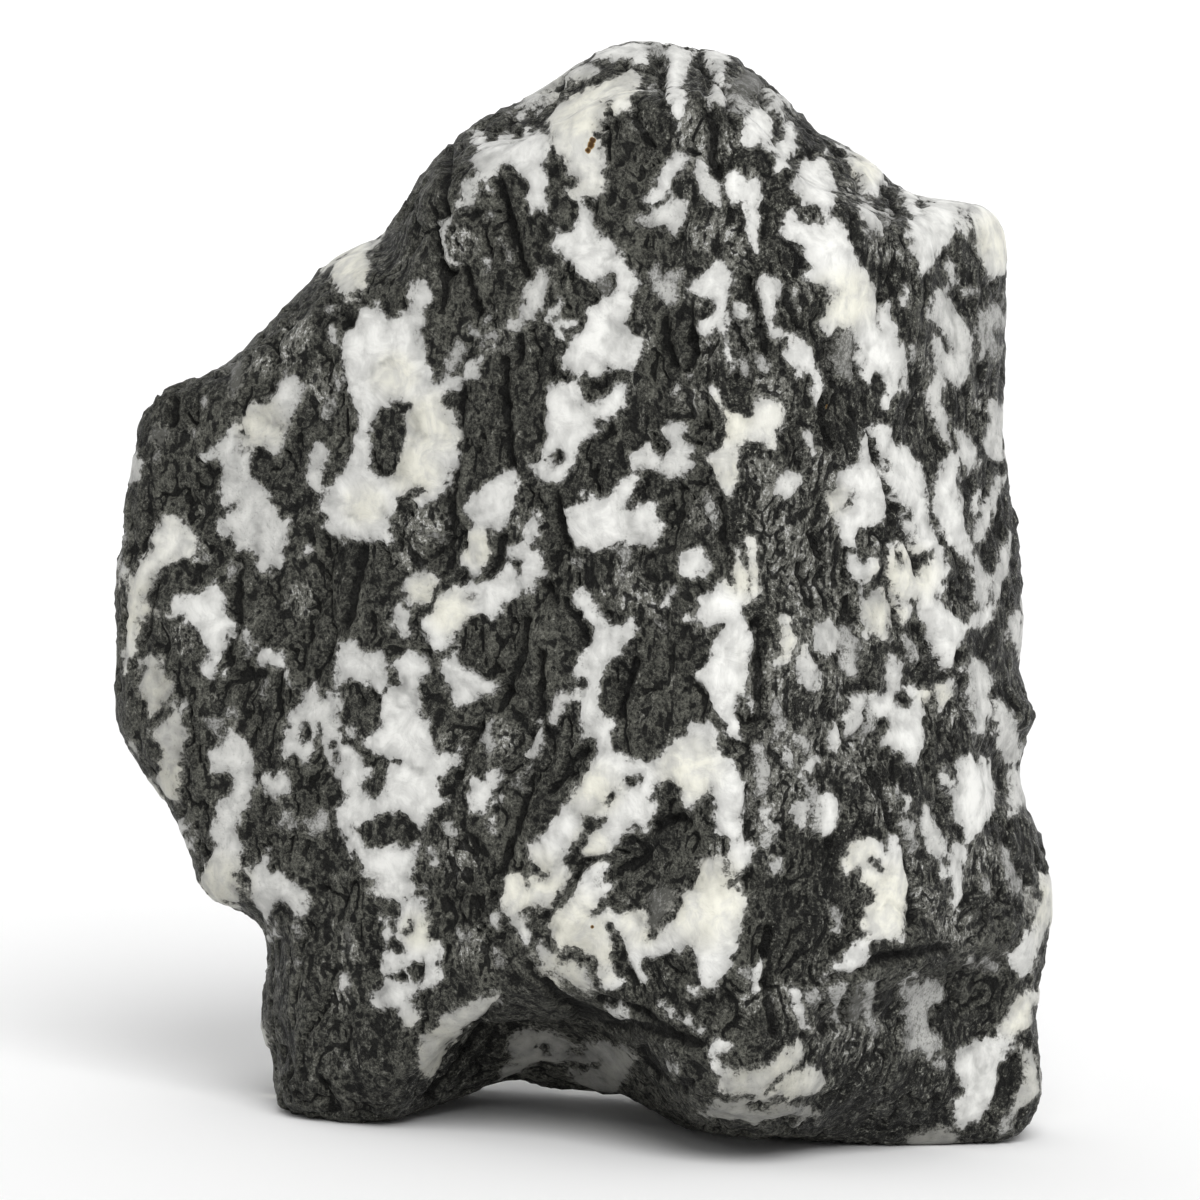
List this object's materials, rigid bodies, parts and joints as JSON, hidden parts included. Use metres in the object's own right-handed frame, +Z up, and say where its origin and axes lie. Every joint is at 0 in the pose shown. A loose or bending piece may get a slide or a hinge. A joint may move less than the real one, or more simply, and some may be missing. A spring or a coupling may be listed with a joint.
{
  "type": "rough tourmaline",
  "caption": "Rough chunk of black tourmaline grown together with milky quartz, with an upright ridge and a low arch under its broken base.",
  "frame": {"origin": "centre of the stone's box at the level of the seat that both feet rest on", "axes": "+Z up along the stone's ridge, +X to the right when the ridge faces the viewer, +Y away from the viewer"},
  "size_m": [0.052, 0.0338, 0.059],
  "materials": {
    "tourmaline_and_quartz": "natural broken stone: charcoal black tourmaline with a fine mottled grain and upright fibres, and milky white to cream quartz in ragged patches over about two fifths of it; satin to dull, with small glints on the fibres"
  },
  "bodies": {
    "root": {"tourmaline_stone": "tourmaline_and_quartz"}
  },
  "joints": []
}
